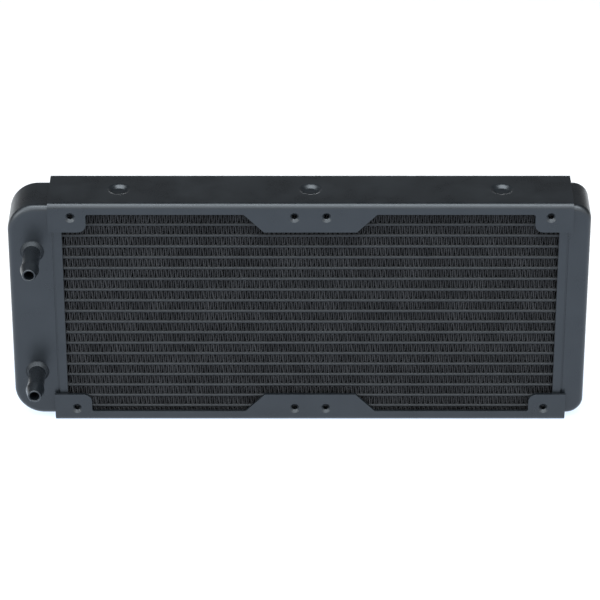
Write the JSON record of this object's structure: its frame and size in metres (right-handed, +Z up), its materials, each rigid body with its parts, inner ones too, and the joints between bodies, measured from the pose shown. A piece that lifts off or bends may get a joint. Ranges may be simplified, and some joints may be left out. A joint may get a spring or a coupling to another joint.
{
  "type": "liquid cooling radiator",
  "caption": "Finned liquid cooling radiator with a tank at each end, folded side rails with fan screw tabs, and straight hose barbs on the front of the left tank.",
  "frame": {"origin": "centre of the fan hole pattern along X, mid depth along Y, on the outer face of the bottom rail", "axes": "+X along the tubes towards the tank without hose barbs, -Y out of the side that carries the hose barbs, +Z up across the tubes"},
  "size_m": [0.274, 0.0515, 0.119],
  "materials": {
    "rail_paint": "gloss",
    "tank_paint": "gloss",
    "header_paint": "satin",
    "bare_divider": "satin",
    "collar_paint": "satin",
    "barb_paint": "satin",
    "tube_paint": "satin",
    "fin_paint": "satin"
  },
  "bodies": {
    "root": {"top_side_rail": "rail_paint", "bottom_side_rail": "rail_paint", "left_tank": "tank_paint", "right_tank": "tank_paint", "left_header_plate": "header_paint", "right_header_plate": "header_paint", "left_tank_divider": "bare_divider", "inlet_collar": "collar_paint", "outlet_collar": "collar_paint", "inlet_barb": "barb_paint", "outlet_barb": "barb_paint", "tube_01": "tube_paint", "tube_02": "tube_paint", "tube_03": "tube_paint", "tube_04": "tube_paint", "tube_05": "tube_paint", "tube_06": "tube_paint", "tube_07": "tube_paint", "tube_08": "tube_paint", "tube_09": "tube_paint", "tube_10": "tube_paint", "tube_11": "tube_paint", "tube_12": "tube_paint", "tube_13": "tube_paint", "tube_14": "tube_paint", "tube_15": "tube_paint", "tube_16": "tube_paint", "tube_17": "tube_paint", "tube_18": "tube_paint", "tube_19": "tube_paint", "fin_01": "fin_paint", "fin_02": "fin_paint", "fin_03": "fin_paint", "fin_04": "fin_paint", "fin_05": "fin_paint", "fin_06": "fin_paint", "fin_07": "fin_paint", "fin_08": "fin_paint", "fin_09": "fin_paint", "fin_10": "fin_paint", "fin_11": "fin_paint", "fin_12": "fin_paint", "fin_13": "fin_paint", "fin_14": "fin_paint", "fin_15": "fin_paint", "fin_16": "fin_paint", "fin_17": "fin_paint", "fin_18": "fin_paint", "fin_19": "fin_paint", "fin_20": "fin_paint"}
  },
  "joints": []
}
